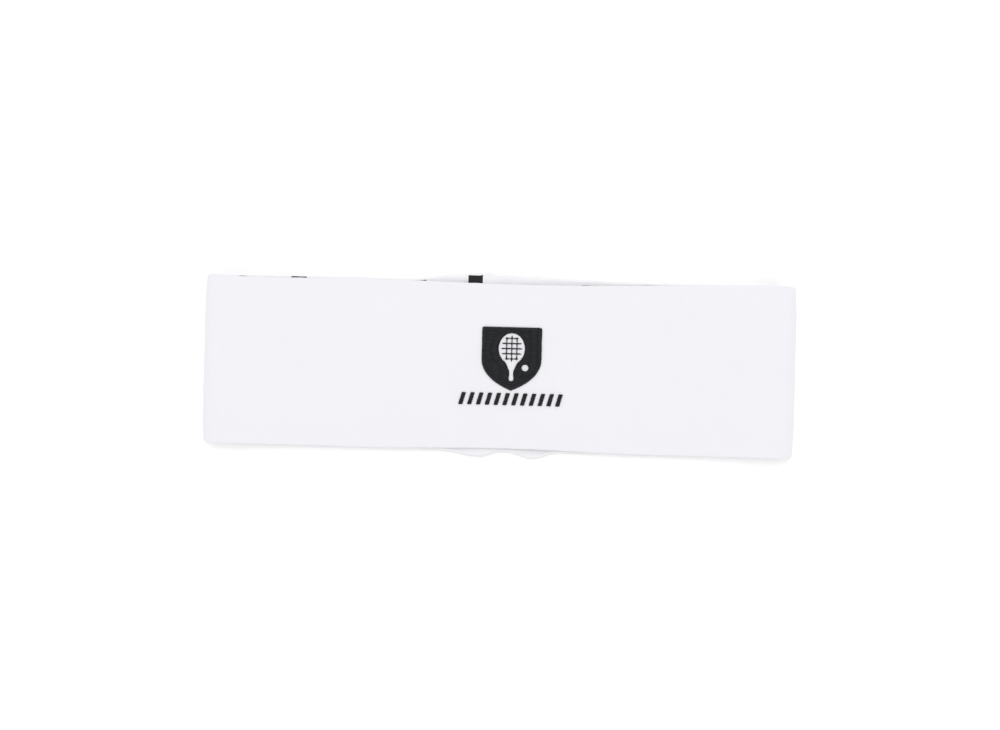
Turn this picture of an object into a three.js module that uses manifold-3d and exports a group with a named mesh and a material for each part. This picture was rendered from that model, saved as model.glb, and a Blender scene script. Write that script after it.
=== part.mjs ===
// A sports headband: a wide jersey loop lying flat, as it is folded for storage.
// Millimetres, +Z up. X runs along the band, Y across its height, and the decorated front faces +Z.
// The origin is on the surface that the band lies on, under the middle of the front panel.

import * as THREE from "three";
import { mergeVertices } from "three/addons/utils/BufferGeometryUtils.js";
import Module from "manifold-3d";

const wasm = await Module();
wasm.setup();

// ---------------------------------------------------------------- overall sizes
const BAND_LENGTH = 242.6; // between the outsides of the two folds
const BAND_HEIGHT = 68.8; // across the band at its left fold
const RIGHT_END_GROWTH = 1.6; // how much taller the right fold measures
const HEAD_GAP = 4.8; // open space between the front and the rear lining
const CLEARANCE = 0.3; // left between pieces that touch

// ---------------------------------------------------------------- cloth and fillings
const SHELL_THICKNESS = 0.6;
const LINING_THICKNESS = 0.5;
const ELASTIC_THICKNESS = 0.9;
const BACKING_THICKNESS = 0.4;
const ALLOWANCE_THICKNESS = 0.6; // turned edges, pressed flat inside the band
const ALLOWANCE_WIDTH = 6;
const ALLOWANCE_INSET = 1.2; // from the band's long edge to the allowance

// ---------------------------------------------------------------- the front's drawn-in waist
const WAIST_X = 10;
const WAIST_HALF_SPAN = 95;
const WAIST_DEPTH = 1.1; // at each long edge

// ---------------------------------------------------------------- centre-back seam and gathers
const SEAM_X = -6.5;
const SEAM_WIDTH = 1.8;
const SEAM_RIDGE = 0.4; // how far the lining's seam stands up
const ELASTIC_LENGTH = 54;
const ELASTIC_STITCH_WIDTH = 1.5;
// Where the gathered rear stands out past the straight edges: [start, peak, end, height] along X,
// counted from the centre-back seam.
const TOP_PUCKERS = [
  [-28, -11, 68, 2.0],
  [-4.5, 0, 6.5, 1.5],
];
const BOTTOM_PUCKERS = [
  [-21.5, -1, 5, 1.4],
  [12, 21, 30, 2.1],
];

// ---------------------------------------------------------------- embroidery
const THREAD_HEIGHT = 0.8;
const CREST_WIDTH = 24.5;
const CREST_HEIGHT = 26;
const CREST_X = 4.8;
const CREST_Y = 3;
const CREST_BORDER = 1.3;
const RACKET_HEAD_WIDTH = 10.8;
const RACKET_HEAD_HEIGHT = 12.8;
const RACKET_HEAD_RISE = 4.2; // centre of the head above the crest's centre
const RACKET_RIM = 1.1;
const RACKET_HANDLE_WIDTH = 2.2;
const RACKET_THROAT_WIDTH = 5.2;
const RACKET_THROAT_LENGTH = 3.4;
const STRING_WIDTH = 0.6;
const STRING_PITCH = 2.1;
const STRINGS_UPRIGHT = 3;
const STRINGS_ACROSS = 5;
const BALL_DIAMETER = 3;
const BALL_X = 5.6;
const BALL_Y = -3.6;
const DASH_COUNT = 12;
const DASH_ROW_WIDTH = 42.7;
const DASH_HEIGHT = 4.6;
const DASH_WIDTH = 1.7;
const DASH_SLANT = 1.3; // how far a dash leans over its height
const DASH_ROW_GAP = 1.2; // below the crest
const BACKING_MARGIN = 4;

// ---------------------------------------------------------------- fineness of curves
const EDGE_STEP = 3;
const FOLD_SEGMENTS = 14;
const CREST_SEGMENTS = 14;
const ROUND_SEGMENTS = 40;

// ---------------------------------------------------------------- heights in the stack
const rearFilling = Math.max(ELASTIC_THICKNESS, ALLOWANCE_THICKNESS);
const frontFilling = Math.max(BACKING_THICKNESS, ALLOWANCE_THICKNESS);
const rearFillingBottom = SHELL_THICKNESS + CLEARANCE;
const rearLiningBottom = rearFillingBottom + rearFilling + CLEARANCE;
const rearLiningTop = rearLiningBottom + LINING_THICKNESS;
const frontLiningBottom = rearLiningTop + HEAD_GAP;
const frontLiningTop = frontLiningBottom + LINING_THICKNESS;
const frontFillingBottom = frontLiningTop + CLEARANCE;
const frontShellBottom = frontFillingBottom + frontFilling + CLEARANCE;
const bandTop = frontShellBottom + SHELL_THICKNESS;
const threadBottom = bandTop + CLEARANCE;

// The folds are half rounds. The shell's and the lining's have slightly different centres,
// because the rear holds the thicker filling.
const foldRadius = bandTop / 2;
const foldX = BAND_LENGTH / 2 - foldRadius;
const panelEnd = foldX - CLEARANCE;

// ---------------------------------------------------------------- materials
function cloth(red, green, blue, roughness) {
  const color = new THREE.Color().setRGB(red, green, blue, THREE.SRGBColorSpace);
  return new THREE.MeshStandardMaterial({ color, roughness, metalness: 0 });
}

const shellCloth = cloth(0.965, 0.96, 0.97, 0.9);
const liningCloth = cloth(0.94, 0.94, 0.95, 0.9);
const elasticCloth = cloth(0.9, 0.9, 0.88, 0.8);
const backingCloth = cloth(0.93, 0.93, 0.92, 0.95);
const seamCloth = cloth(0.95, 0.95, 0.96, 0.9);
const blackThread = cloth(0.1, 0.1, 0.11, 0.55);

const headband = new THREE.Group();

function addMesh(name, geometry, material, z = 0) {
  const mesh = new THREE.Mesh(geometry, material);
  mesh.name = name;
  mesh.position.z = z;
  headband.add(mesh);
  return mesh;
}

// ---------------------------------------------------------------- outlines of the panels
// Half the band's height at x, before anything draws it in or out.
function straightEdge(x) {
  const along = x / BAND_LENGTH + 0.5;
  return (BAND_HEIGHT + RIGHT_END_GROWTH * along) / 2;
}

// The front's long edges, which the waist draws in.
function frontEdge(x) {
  const away = Math.min(Math.abs(x - WAIST_X) / WAIST_HALF_SPAN, 1);
  return straightEdge(x) - WAIST_DEPTH * (1 - away ** 2) ** 2;
}

// A smooth rise from start to peak and fall from peak to end.
function pucker(x, [start, peak, end, height]) {
  const foot = x < peak ? start : end;
  const share = (x - foot) / (peak - foot);
  return share > 0 ? (height * (1 - Math.cos(Math.PI * share))) / 2 : 0;
}

function gathered(x, puckers) {
  return puckers.reduce((sum, shape) => sum + pucker(x - SEAM_X, shape), 0);
}

const rearTopEdge = (x) => straightEdge(x) + gathered(x, TOP_PUCKERS);
const rearBottomEdge = (x) => -straightEdge(x) - gathered(x, BOTTOM_PUCKERS);
const frontTopEdge = frontEdge;
const frontBottomEdge = (x) => -frontEdge(x);

// A flat piece between x0 and x1 with a curved upper and lower edge, standing on z.
function addPanel(name, [x0, x1], upper, lower, z, thickness, material) {
  const steps = Math.ceil((x1 - x0) / EDGE_STEP);
  const geometry = new THREE.BoxGeometry(x1 - x0, 1, thickness, steps, 1, 1);
  geometry.translate((x0 + x1) / 2, 0, thickness / 2);
  const { position } = geometry.attributes;
  for (let i = 0; i < position.count; i += 1) {
    const edge = position.getY(i) > 0 ? upper : lower;
    position.setY(i, edge(position.getX(i)));
  }
  geometry.computeVertexNormals();
  return addMesh(name, geometry, material, z);
}

// A turned edge's allowance, which lies just inside a long edge.
function addAllowances(prefix, suffix, span, topEdge, bottomEdge, z) {
  const outer = ALLOWANCE_INSET;
  const inner = ALLOWANCE_INSET + ALLOWANCE_WIDTH;
  addPanel(
    `${prefix}_top_seam${suffix}`,
    span,
    (x) => topEdge(x) - outer,
    (x) => topEdge(x) - inner,
    z,
    ALLOWANCE_THICKNESS,
    seamCloth,
  );
  addPanel(
    `${prefix}_bottom_seam${suffix}`,
    span,
    (x) => bottomEdge(x) + inner,
    (x) => bottomEdge(x) + outer,
    z,
    ALLOWANCE_THICKNESS,
    seamCloth,
  );
}

// ---------------------------------------------------------------- front of the band
function addFront() {
  const span = [-panelEnd, panelEnd];
  addPanel("front_shell", span, frontTopEdge, frontBottomEdge, frontShellBottom, SHELL_THICKNESS, shellCloth);
  addPanel("front_lining", span, frontTopEdge, frontBottomEdge, frontLiningBottom, LINING_THICKNESS, liningCloth);
  addAllowances("front", "", span, frontTopEdge, frontBottomEdge, frontFillingBottom);
}

// ---------------------------------------------------------------- rear of the band
// The strip's two ends meet at the centre-back seam.
function addRear() {
  const seamSide = SEAM_WIDTH / 2 + CLEARANCE;
  const halves = {
    _left: [-panelEnd, SEAM_X - seamSide],
    _right: [SEAM_X + seamSide, panelEnd],
  };
  for (const [suffix, span] of Object.entries(halves)) {
    addPanel(`rear_shell${suffix}`, span, rearTopEdge, rearBottomEdge, 0, SHELL_THICKNESS, shellCloth);
    addPanel(
      `rear_lining${suffix}`,
      span,
      rearTopEdge,
      rearBottomEdge,
      rearLiningBottom,
      LINING_THICKNESS,
      liningCloth,
    );
    addAllowances("rear", suffix, span, rearTopEdge, rearBottomEdge, rearFillingBottom);
  }
  const seamSpan = [SEAM_X - SEAM_WIDTH / 2, SEAM_X + SEAM_WIDTH / 2];
  addPanel("back_seam_shell", seamSpan, rearTopEdge, rearBottomEdge, 0, SHELL_THICKNESS, seamCloth);
  addPanel(
    "back_seam_lining",
    seamSpan,
    rearTopEdge,
    rearBottomEdge,
    rearLiningBottom,
    LINING_THICKNESS + SEAM_RIDGE,
    seamCloth,
  );
}

// The elastic that gathers the centre back, and the stitching that holds its ends.
function addElastic() {
  const innermost = straightEdge(SEAM_X - ELASTIC_LENGTH / 2) - ALLOWANCE_INSET - ALLOWANCE_WIDTH;
  const halfHeight = innermost - CLEARANCE;
  const upper = () => halfHeight;
  const lower = () => -halfHeight;
  const start = SEAM_X - ELASTIC_LENGTH / 2;
  const end = SEAM_X + ELASTIC_LENGTH / 2;
  const add = (name, span, material) =>
    addPanel(name, span, upper, lower, rearFillingBottom, ELASTIC_THICKNESS, material);
  add("rear_elastic", [start, end], elasticCloth);
  const near = CLEARANCE;
  const far = CLEARANCE + ELASTIC_STITCH_WIDTH;
  add("elastic_stitching_left", [start - far, start - near], seamCloth);
  add("elastic_stitching_right", [end + near, end + far], seamCloth);
}

// ---------------------------------------------------------------- folds at the two ends
// A half round between an outer and an inner arc, each given as [centre height, radius].
function addFold(name, side, [outerZ, outerRadius], [innerZ, innerRadius], [from, to], material) {
  const shape = new THREE.Shape();
  shape.absarc(0, outerZ, outerRadius, -Math.PI / 2, Math.PI / 2, false);
  shape.lineTo(0, innerZ + innerRadius);
  shape.absarc(0, innerZ, innerRadius, Math.PI / 2, -Math.PI / 2, true);
  const options = { depth: to - from, bevelEnabled: false, curveSegments: FOLD_SEGMENTS };
  const mesh = addMesh(name, new THREE.ExtrudeGeometry(shape, options), material);
  // The section stands in XZ and runs along Y. The left fold is the right one turned round.
  const turned = side < 0;
  mesh.geometry.rotateX(Math.PI / 2);
  if (turned) mesh.geometry.rotateZ(Math.PI);
  mesh.position.set(side * foldX, turned ? from : to, 0);
}

function addFolds() {
  const shellOuter = [bandTop / 2, foldRadius];
  const shellInner = [bandTop / 2, foldRadius - SHELL_THICKNESS];
  const liningZ = (rearLiningTop + frontLiningBottom) / 2;
  const liningOuter = [liningZ, HEAD_GAP / 2 + LINING_THICKNESS];
  const liningInner = [liningZ, HEAD_GAP / 2];
  const allowanceOuter = [shellInner[0], shellInner[1] - CLEARANCE];
  const allowanceInner = [liningZ, liningOuter[1] + CLEARANCE];
  for (const [word, side] of [["left", -1], ["right", 1]]) {
    const edge = straightEdge(side * foldX);
    const outer = edge - ALLOWANCE_INSET;
    const inner = outer - ALLOWANCE_WIDTH;
    addFold(`${word}_fold_shell`, side, shellOuter, shellInner, [-edge, edge], shellCloth);
    addFold(`${word}_fold_lining`, side, liningOuter, liningInner, [-edge, edge], liningCloth);
    addFold(`${word}_fold_top_seam`, side, allowanceOuter, allowanceInner, [inner, outer], seamCloth);
    addFold(`${word}_fold_bottom_seam`, side, allowanceOuter, allowanceInner, [-outer, -inner], seamCloth);
  }
}

// ---------------------------------------------------------------- solids that are cut and joined
function toSolid(geometry) {
  const bare = geometry.clone();
  bare.deleteAttribute("normal");
  bare.deleteAttribute("uv");
  const merged = mergeVertices(bare, 1e-5);
  const vertProperties = new Float32Array(merged.attributes.position.array);
  const triVerts = new Uint32Array(merged.index.array);
  return new wasm.Manifold(new wasm.Mesh({ numProp: 3, vertProperties, triVerts }));
}

function toGeometry(solid) {
  const { vertProperties, triVerts } = solid.getMesh();
  const geometry = new THREE.BufferGeometry();
  geometry.setAttribute("position", new THREE.BufferAttribute(vertProperties, 3));
  geometry.setIndex(new THREE.BufferAttribute(triVerts, 1));
  return geometry;
}

// A flat shape raised from z = bottom, as a solid.
function raised(shape, bottom, height, curveSegments) {
  const geometry = new THREE.ExtrudeGeometry(shape, { depth: height, bevelEnabled: false, curveSegments });
  return toSolid(geometry.translate(0, 0, bottom));
}

// ---------------------------------------------------------------- embroidered crest
// A shield's outline, drawn in all round by inset, about its own centre.
function crestShape(inset) {
  const halfWidth = CREST_WIDTH / 2 - inset;
  const halfHeight = CREST_HEIGHT / 2 - inset;
  const shape = new THREE.Shape();
  shape.moveTo(-halfWidth, halfHeight);
  shape.lineTo(-halfWidth, 0);
  shape.bezierCurveTo(-halfWidth, -halfHeight * 0.55, -halfWidth * 0.4, -halfHeight * 0.85, 0, -halfHeight);
  shape.bezierCurveTo(halfWidth * 0.4, -halfHeight * 0.85, halfWidth, -halfHeight * 0.55, halfWidth, 0);
  shape.lineTo(halfWidth, halfHeight);
  shape.closePath();
  return shape;
}

function ellipse(x, y, radiusX, radiusY) {
  return new THREE.Shape().absellipse(x, y, radiusX, radiusY, 0, 2 * Math.PI, false, 0);
}

// The racket's throat and handle, which run from its head towards the crest's point.
function handleShape() {
  const top = RACKET_HEAD_RISE - RACKET_HEAD_HEIGHT / 2 + RACKET_RIM;
  const neck = top - RACKET_THROAT_LENGTH;
  const foot = -CREST_HEIGHT / 2 + 3 * CREST_BORDER;
  const throat = RACKET_THROAT_WIDTH / 2;
  const grip = RACKET_HANDLE_WIDTH / 2;
  const corners = [[-throat, top], [-grip, neck], [-grip, foot], [grip, foot], [grip, neck], [throat, top]];
  return new THREE.Shape(corners.map(([x, y]) => new THREE.Vector2(x, y)));
}

function addCrest() {
  const place = (name, geometry) => {
    addMesh(name, geometry, blackThread, threadBottom).position.set(CREST_X, CREST_Y, threadBottom);
  };

  const border = crestShape(0);
  border.holes.push(crestShape(CREST_BORDER));
  const options = { depth: THREAD_HEIGHT, bevelEnabled: false, curveSegments: CREST_SEGMENTS };
  place("crest_border", new THREE.ExtrudeGeometry(border, options));

  // The racket and the ball are bare cloth, left open in the stitched field.
  const headX = RACKET_HEAD_WIDTH / 2;
  const headY = RACKET_HEAD_HEIGHT / 2;
  const cutBottom = -THREAD_HEIGHT;
  const cutHeight = 3 * THREAD_HEIGHT;
  const cut = (shape) => raised(shape, cutBottom, cutHeight, ROUND_SEGMENTS);
  const field = raised(crestShape(CREST_BORDER + CLEARANCE), 0, THREAD_HEIGHT, CREST_SEGMENTS)
    .subtract(cut(ellipse(0, RACKET_HEAD_RISE, headX, headY)))
    .subtract(cut(handleShape()))
    .subtract(cut(ellipse(BALL_X, BALL_Y, BALL_DIAMETER / 2, BALL_DIAMETER / 2)));
  place("crest_field", toGeometry(field));

  // The racket's strings are crossed rows of thread inside its rim.
  const bars = [];
  const addBars = (count, width, height, shift) => {
    for (let i = 0; i < count; i += 1) {
      const step = (i - (count - 1) / 2) * STRING_PITCH;
      const bar = new THREE.BoxGeometry(width, height, THREAD_HEIGHT);
      bars.push(toSolid(bar.translate(...shift(step), THREAD_HEIGHT / 2)));
    }
  };
  addBars(STRINGS_UPRIGHT, STRING_WIDTH, RACKET_HEAD_HEIGHT, (step) => [step, RACKET_HEAD_RISE]);
  addBars(STRINGS_ACROSS, RACKET_HEAD_WIDTH, STRING_WIDTH, (step) => [0, RACKET_HEAD_RISE + step]);
  const lattice = bars.reduce((joined, bar) => joined.add(bar));
  const opening = ellipse(0, RACKET_HEAD_RISE, headX - RACKET_RIM, headY - RACKET_RIM);
  place("racket_strings", toGeometry(lattice.intersect(cut(opening))));
}

// ---------------------------------------------------------------- row of stitched dashes
const dashRowY = CREST_Y - CREST_HEIGHT / 2 - DASH_ROW_GAP - DASH_HEIGHT / 2;

function addDashes() {
  const lean = DASH_SLANT / 2;
  const half = DASH_WIDTH / 2;
  const rise = DASH_HEIGHT / 2;
  const corners = [[-half - lean, -rise], [half - lean, -rise], [half + lean, rise], [-half + lean, rise]];
  const shape = new THREE.Shape(corners.map(([x, y]) => new THREE.Vector2(x, y)));
  const pitch = (DASH_ROW_WIDTH - DASH_WIDTH - DASH_SLANT) / (DASH_COUNT - 1);
  for (let i = 0; i < DASH_COUNT; i += 1) {
    const geometry = new THREE.ExtrudeGeometry(shape, { depth: THREAD_HEIGHT, bevelEnabled: false });
    const name = `stitched_dash_${String(i + 1).padStart(2, "0")}`;
    const x = CREST_X + (i - (DASH_COUNT - 1) / 2) * pitch;
    addMesh(name, geometry, blackThread).position.set(x, dashRowY, threadBottom);
  }
}

// The stabiliser inside the front, behind all the embroidery.
function addBacking() {
  const halfWidth = Math.max(CREST_WIDTH, DASH_ROW_WIDTH) / 2 + BACKING_MARGIN;
  const top = CREST_Y + CREST_HEIGHT / 2 + BACKING_MARGIN;
  const bottom = dashRowY - DASH_HEIGHT / 2 - BACKING_MARGIN;
  const span = [CREST_X - halfWidth, CREST_X + halfWidth];
  addPanel("embroidery_backing", span, () => top, () => bottom, frontFillingBottom, BACKING_THICKNESS, backingCloth);
}

addFront();
addRear();
addElastic();
addFolds();
addCrest();
addDashes();
addBacking();

export default headband;
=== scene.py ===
"""A wide jersey sports headband, lying flat on a white table.

The outer cloth, the lining and their turned edges run round the whole loop, between the two rigid halves
of the frame, and ride on neither. The embroidery, its backing and the elastic ride on one half each. Every
size that the frame holds is read from it; the rest are fields of the classes below, in metres.
"""

from __future__ import annotations

import logging
import math
import random
from collections.abc import Callable, Iterable, Mapping, Sequence
from dataclasses import dataclass, field
from enum import Enum

import bmesh
import bpy
from mathutils import Matrix, Vector

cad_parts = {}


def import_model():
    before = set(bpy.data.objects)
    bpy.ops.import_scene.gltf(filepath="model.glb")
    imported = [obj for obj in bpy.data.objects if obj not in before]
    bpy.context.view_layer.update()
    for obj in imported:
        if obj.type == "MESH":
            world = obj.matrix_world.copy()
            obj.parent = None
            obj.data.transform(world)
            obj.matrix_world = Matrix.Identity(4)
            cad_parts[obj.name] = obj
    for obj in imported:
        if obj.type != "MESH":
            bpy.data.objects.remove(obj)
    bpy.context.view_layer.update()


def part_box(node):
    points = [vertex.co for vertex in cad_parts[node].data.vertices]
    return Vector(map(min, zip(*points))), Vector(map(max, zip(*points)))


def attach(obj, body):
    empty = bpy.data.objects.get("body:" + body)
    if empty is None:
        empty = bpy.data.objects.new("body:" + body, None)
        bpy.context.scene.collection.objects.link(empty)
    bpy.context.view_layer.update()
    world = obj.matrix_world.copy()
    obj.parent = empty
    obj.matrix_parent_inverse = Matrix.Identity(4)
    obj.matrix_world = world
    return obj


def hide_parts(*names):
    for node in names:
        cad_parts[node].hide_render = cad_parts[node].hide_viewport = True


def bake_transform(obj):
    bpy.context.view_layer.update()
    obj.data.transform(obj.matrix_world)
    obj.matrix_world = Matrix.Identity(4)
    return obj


MM = 0.001
LOG = logging.getLogger("headband")

Point = tuple[float, float]


# ----------------------------------------------------------------------------- shader expressions
class Graph:
    """One material's node tree, and the ways that nodes are added to it."""

    def __init__(self, name: str) -> None:
        """Start an empty material.

        Args:
            name: The material's name.
        """
        self.material = bpy.data.materials.new(name)
        self.material.use_nodes = True
        self.tree = self.material.node_tree
        self.tree.nodes.clear()

    def node(
        self,
        kind: str,
        settings: Mapping[str, object] | None = None,
        inputs: Mapping[str | int, object] | None = None,
    ) -> bpy.types.Node:
        """Add a node.

        Args:
            kind: The node's type name.
            settings: Its own settings, which are set before its sockets.
            inputs: The value, the Number or the socket for each of its inputs, by name or index.

        Returns:
            The new node.
        """
        node = self.tree.nodes.new(kind)
        for key, value in (settings or {}).items():
            setattr(node, key, value)
        for key, value in (inputs or {}).items():
            socket = node.inputs[key]
            source = value.socket if isinstance(value, Number) else value
            if isinstance(source, bpy.types.NodeSocket):
                self.tree.links.new(source, socket)
            else:
                socket.default_value = source
        return node

    def math(self, operation: str, *values: float | Number) -> Number:
        """Add a Math node and return its result."""
        node = self.node("ShaderNodeMath", {"operation": operation}, dict(enumerate(values)))
        return Number(self, node.outputs[0])

    def parts(self, vector: bpy.types.NodeSocket) -> tuple[Number, Number, Number]:
        """Split a vector.

        Args:
            vector: The vector's socket.

        Returns:
            Its X, Y and Z.
        """
        node = self.node("ShaderNodeSeparateXYZ", inputs={"Vector": vector})
        x, y, z = (Number(self, output) for output in node.outputs)
        return x, y, z

    def places(self) -> bpy.types.NodeSocket:
        """Find where each point lies on the piece."""
        return self.node("ShaderNodeTexCoord").outputs["Object"]

    def mix(self, share: Number, low: object, high: object) -> bpy.types.NodeSocket:
        """Mix two colours.

        Args:
            share: How much of the second colour shows, from 0 to 1.
            low: The first colour, or its socket.
            high: The second colour, or its socket.

        Returns:
            The mixed colour's socket.
        """
        settings = {"data_type": "RGBA", "blend_type": "MIX"}
        # A Mix node keeps its colour sockets after those of its other data types.
        node = self.node("ShaderNodeMix", settings, {0: share, 6: low, 7: high})
        return node.outputs[2]

    def noise(self, where: bpy.types.NodeSocket, scale: float, detail: float = 2.0) -> Number:
        """Add a noise pattern, from 0 to 1."""
        inputs = {"Vector": where, "Scale": scale, "Detail": detail, "Roughness": 0.55}
        return Number(self, self.node("ShaderNodeTexNoise", inputs=inputs).outputs["Fac"])

    def bump(self, height: Number, strength: float, distance: float) -> bpy.types.NodeSocket:
        """Turn a height into a normal.

        Args:
            height: The surface's height, from 0 to 1.
            strength: How much of the bump shows.
            distance: The height that 1 stands for, in metres.

        Returns:
            The socket of the bent normal.
        """
        inputs = {"Strength": strength, "Distance": distance, "Height": height}
        return self.node("ShaderNodeBump", inputs=inputs).outputs["Normal"]

    def finish(self, **sockets: object) -> bpy.types.Material:
        """Add the surface shader.

        Args:
            **sockets: Its inputs, with underscores for the spaces in their names.

        Returns:
            The finished material.
        """
        inputs = {name.replace("_", " "): value for name, value in sockets.items()}
        shader = self.node("ShaderNodeBsdfPrincipled", inputs=inputs)
        self.node("ShaderNodeOutputMaterial", inputs={"Surface": shader.outputs[0]})
        return self.material


class Number:
    """A shader socket that takes part in arithmetic."""

    def __init__(self, graph: Graph, socket: bpy.types.NodeSocket) -> None:
        """Wrap a socket of a graph."""
        self.graph = graph
        self.socket = socket

    def __add__(self, other: float | Number) -> Number:
        """Add."""
        return self.graph.math("ADD", self, other)

    __radd__ = __add__

    def __sub__(self, other: float | Number) -> Number:
        """Take away."""
        return self.graph.math("SUBTRACT", self, other)

    def __rsub__(self, other: float) -> Number:
        """Take this from a number."""
        return self.graph.math("SUBTRACT", other, self)

    def __mul__(self, other: float | Number) -> Number:
        """Multiply."""
        return self.graph.math("MULTIPLY", self, other)

    def __truediv__(self, other: float | Number) -> Number:
        """Divide."""
        return self.graph.math("DIVIDE", self, other)

    def __gt__(self, other: float | Number) -> Number:
        """1 where this is greater, and 0 elsewhere."""
        return self.graph.math("GREATER_THAN", self, other)

    def __abs__(self) -> Number:
        """Drop the sign."""
        return self.graph.math("ABSOLUTE", self)

    def fraction(self) -> Number:
        """Keep what is past the whole number below."""
        return self.graph.math("FRACT", self)

    def floor(self) -> Number:
        """Round down."""
        return self.graph.math("FLOOR", self)

    def cosine(self) -> Number:
        """Take the cosine."""
        return self.graph.math("COSINE", self)

    def modulo(self, other: float) -> Number:
        """Keep the rest of a division."""
        return self.graph.math("FLOORED_MODULO", self, other)

    def within(self, low: float, high: float) -> Number:
        """Turn this into a share.

        Args:
            low: Where the share is 0.
            high: Where it is 1.

        Returns:
            The share, which changes smoothly between the two.
        """
        inputs = {"Value": self, "From Min": low, "From Max": high}
        node = self.graph.node("ShaderNodeMapRange", {"interpolation_type": "SMOOTHSTEP"}, inputs)
        return Number(self.graph, node.outputs["Result"])


# ----------------------------------------------------------------------------- finishes
Colour = tuple[float, float, float]


def opaque(colour: Colour, shade: float = 1.0) -> tuple[float, float, float, float]:
    """Darken or lighten a colour and give it an alpha of 1."""
    red, green, blue = (min(part * shade, 1.0) for part in colour)
    return red, green, blue, 1.0


@dataclass(frozen=True)
class Jersey:
    """Fine single jersey: columns of knitted loops under a short fuzz."""

    name: str = "shell jersey"
    colour: Colour = (0.80, 0.793, 0.831)
    wale: float = 0.62 * MM
    course: float = 0.5 * MM
    relief: float = 0.09 * MM
    fuzz: float = 0.35 * MM
    cloud: float = 16 * MM
    # How far the colour swings either way: the yarn's uneven tone, and the painted shade in the loops'
    # grooves.
    mottle_and_groove_shade: float = 0.025
    roughness: float = 0.84
    sheen: float = 0.35
    sheen_roughness: float = 0.35
    gloss: float = 0.25

    def material(self) -> bpy.types.Material:
        """Build the material.

        Returns:
            The finished material.
        """
        graph = Graph(self.name)
        places = graph.places()
        loops = self.loops(graph, places)
        fuzz = graph.noise(places, 1 / self.fuzz)
        cloudy = graph.noise(places, 1 / self.cloud, 3.0)
        # The colour follows the loops' height, which is painted shade darkening the grooves between them,
        # and two noises for the yarn's own uneven tone.
        shade = loops * 0.35 + fuzz * 0.25 + cloudy * 0.4
        dark, light = opaque(self.colour, 1 - self.mottle_and_groove_shade), opaque(self.colour, 1 + self.mottle_and_groove_shade)
        plain = graph.mix(shade, dark, light)
        return graph.finish(
            Base_Color=self.decorate(graph, plain),
            Roughness=self.roughness + fuzz * 0.1,
            Normal=graph.bump(loops * 0.8 + fuzz * 0.2, 0.5, self.relief),
            Sheen_Weight=self.sheen,
            Sheen_Roughness=self.sheen_roughness,
            Specular_IOR_Level=self.gloss,
        )

    def loops(self, graph: Graph, places: bpy.types.NodeSocket) -> Number:
        """Draw the knitted loops' height.

        The columns follow the band round its folds: they are counted along X where the cloth lies flat
        and along Z where it stands on its end.

        Args:
            graph: The material's graph.
            places: Where each point lies on the piece.

        Returns:
            The height, from 0 to 1.
        """
        x, y, z = graph.parts(places)
        facing = graph.node("ShaderNodeNewGeometry").outputs["Normal"]
        standing = abs(graph.parts(facing)[0]) > math.cos(math.radians(45))
        along = x + (z - x) * standing
        leg = abs((along / self.wale).fraction() - 0.5) * 2
        turn = ((y / self.course + leg * 0.55) * math.tau).cosine()
        groove = leg.within(1.0, 0.6)
        return (turn * 0.5 + 0.5) * 0.55 + groove * 0.45

    def decorate(self, graph: Graph, colour: bpy.types.NodeSocket) -> bpy.types.NodeSocket:
        """Leave the cloth plain."""
        return colour


@dataclass(frozen=True)
class PrintedJersey(Jersey):
    """The lining's jersey, printed all over with short upright bars in staggered columns."""

    name: str = "lining jersey"
    # A little lighter than the shell's colour: painted light, which brightens the strips of lining that
    # show in the band's shade beside the front's long edges.
    colour: Colour = (0.835, 0.833, 0.86)
    ink: Colour = (0.02, 0.02, 0.021)
    loop: float = 491 * MM
    column_lead: float = 19.45 * MM
    column_pitch: float = 24.595 * MM
    bar_width: float = 6.3 * MM
    bar_length: float = 11.5 * MM
    bar_pitch: float = 26 * MM
    starts: tuple[float, float, float] = (0.78 * MM, -3.1 * MM, 1.6 * MM)
    skew: float = -4.84 * MM
    bow: float = 11.32 * MM
    bleed: float = 0.12 * MM

    def decorate(self, graph: Graph, colour: bpy.types.NodeSocket) -> bpy.types.NodeSocket:
        """Print the bars.

        Args:
            graph: The material's graph.
            colour: The unprinted cloth's colour.

        Returns:
            The printed colour.
        """
        chart = graph.node("ShaderNodeUVMap", {"uv_map": BandCloth.CHART}).outputs["UV"]
        along, below, _ = graph.parts(chart)
        column = ((along - self.column_lead) / self.column_pitch + 0.5).floor()
        offset = abs(along - self.column_lead - column * self.column_pitch)
        turn = column.modulo(3)
        first, second, third = self.starts
        start = first + (turn > 0.5) * (second - first) + (turn > 1.5) * (third - second)
        left = 1 - along / self.loop
        drift = left * self.skew + left * left * self.bow
        past = ((below - start - drift) / self.bar_pitch).fraction() * self.bar_pitch
        height = abs(past - self.bar_length / 2)
        inside = self.inked(offset, self.bar_width) * self.inked(height, self.bar_length)
        return graph.mix(inside, colour, opaque(self.ink))

    def inked(self, offset: Number, size: float) -> Number:
        """1 where an offset from a bar's middle is inside the bar, and 0 outside, with a soft edge."""
        return offset.within(size / 2 + self.bleed, size / 2 - self.bleed)


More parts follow.
